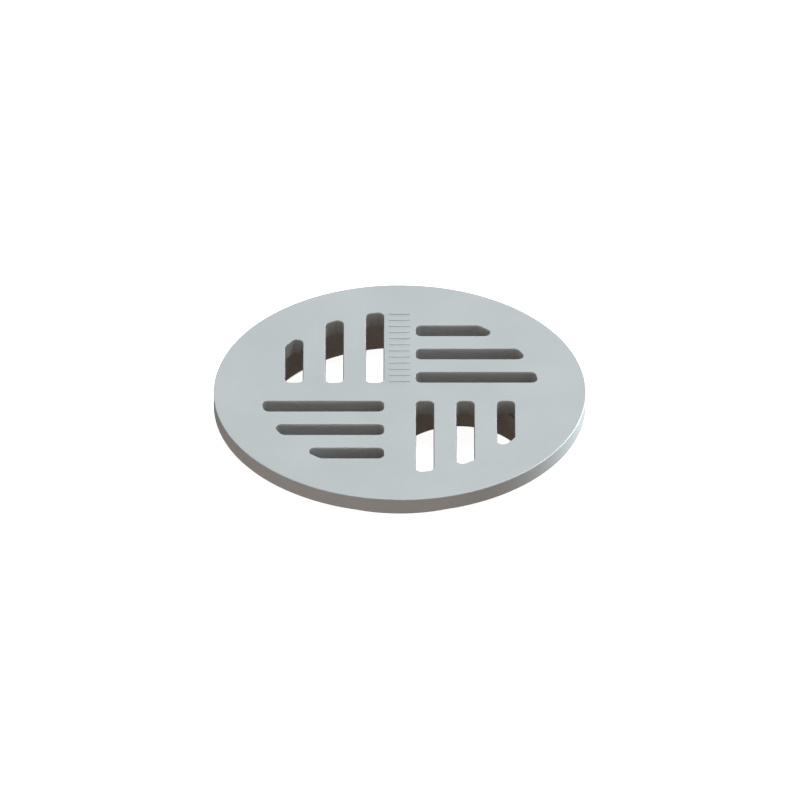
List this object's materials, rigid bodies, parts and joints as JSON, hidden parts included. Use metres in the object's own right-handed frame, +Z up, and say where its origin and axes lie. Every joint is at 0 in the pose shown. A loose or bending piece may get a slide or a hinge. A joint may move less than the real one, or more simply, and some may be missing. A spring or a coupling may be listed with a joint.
{
  "type": "floor drain grate",
  "caption": "Round lift-out floor drain grate: a flat slotted plate with a locating collar and an arched guide wall underneath.",
  "frame": {"origin": "on the grate's vertical axis, at the bottom edge of the locating collar", "axes": "+Z up through the slotted plate, +Y towards the land that carries the grip bars, +X to the right of it"},
  "size_m": [0.14, 0.14, 0.0176],
  "materials": {
    "moulded_plastic": "matt moulded light grey plastic"
  },
  "bodies": {
    "root": {"grate_plate": "moulded_plastic", "locating_collar": "moulded_plastic", "arched_guide_wall": "moulded_plastic"}
  },
  "joints": []
}
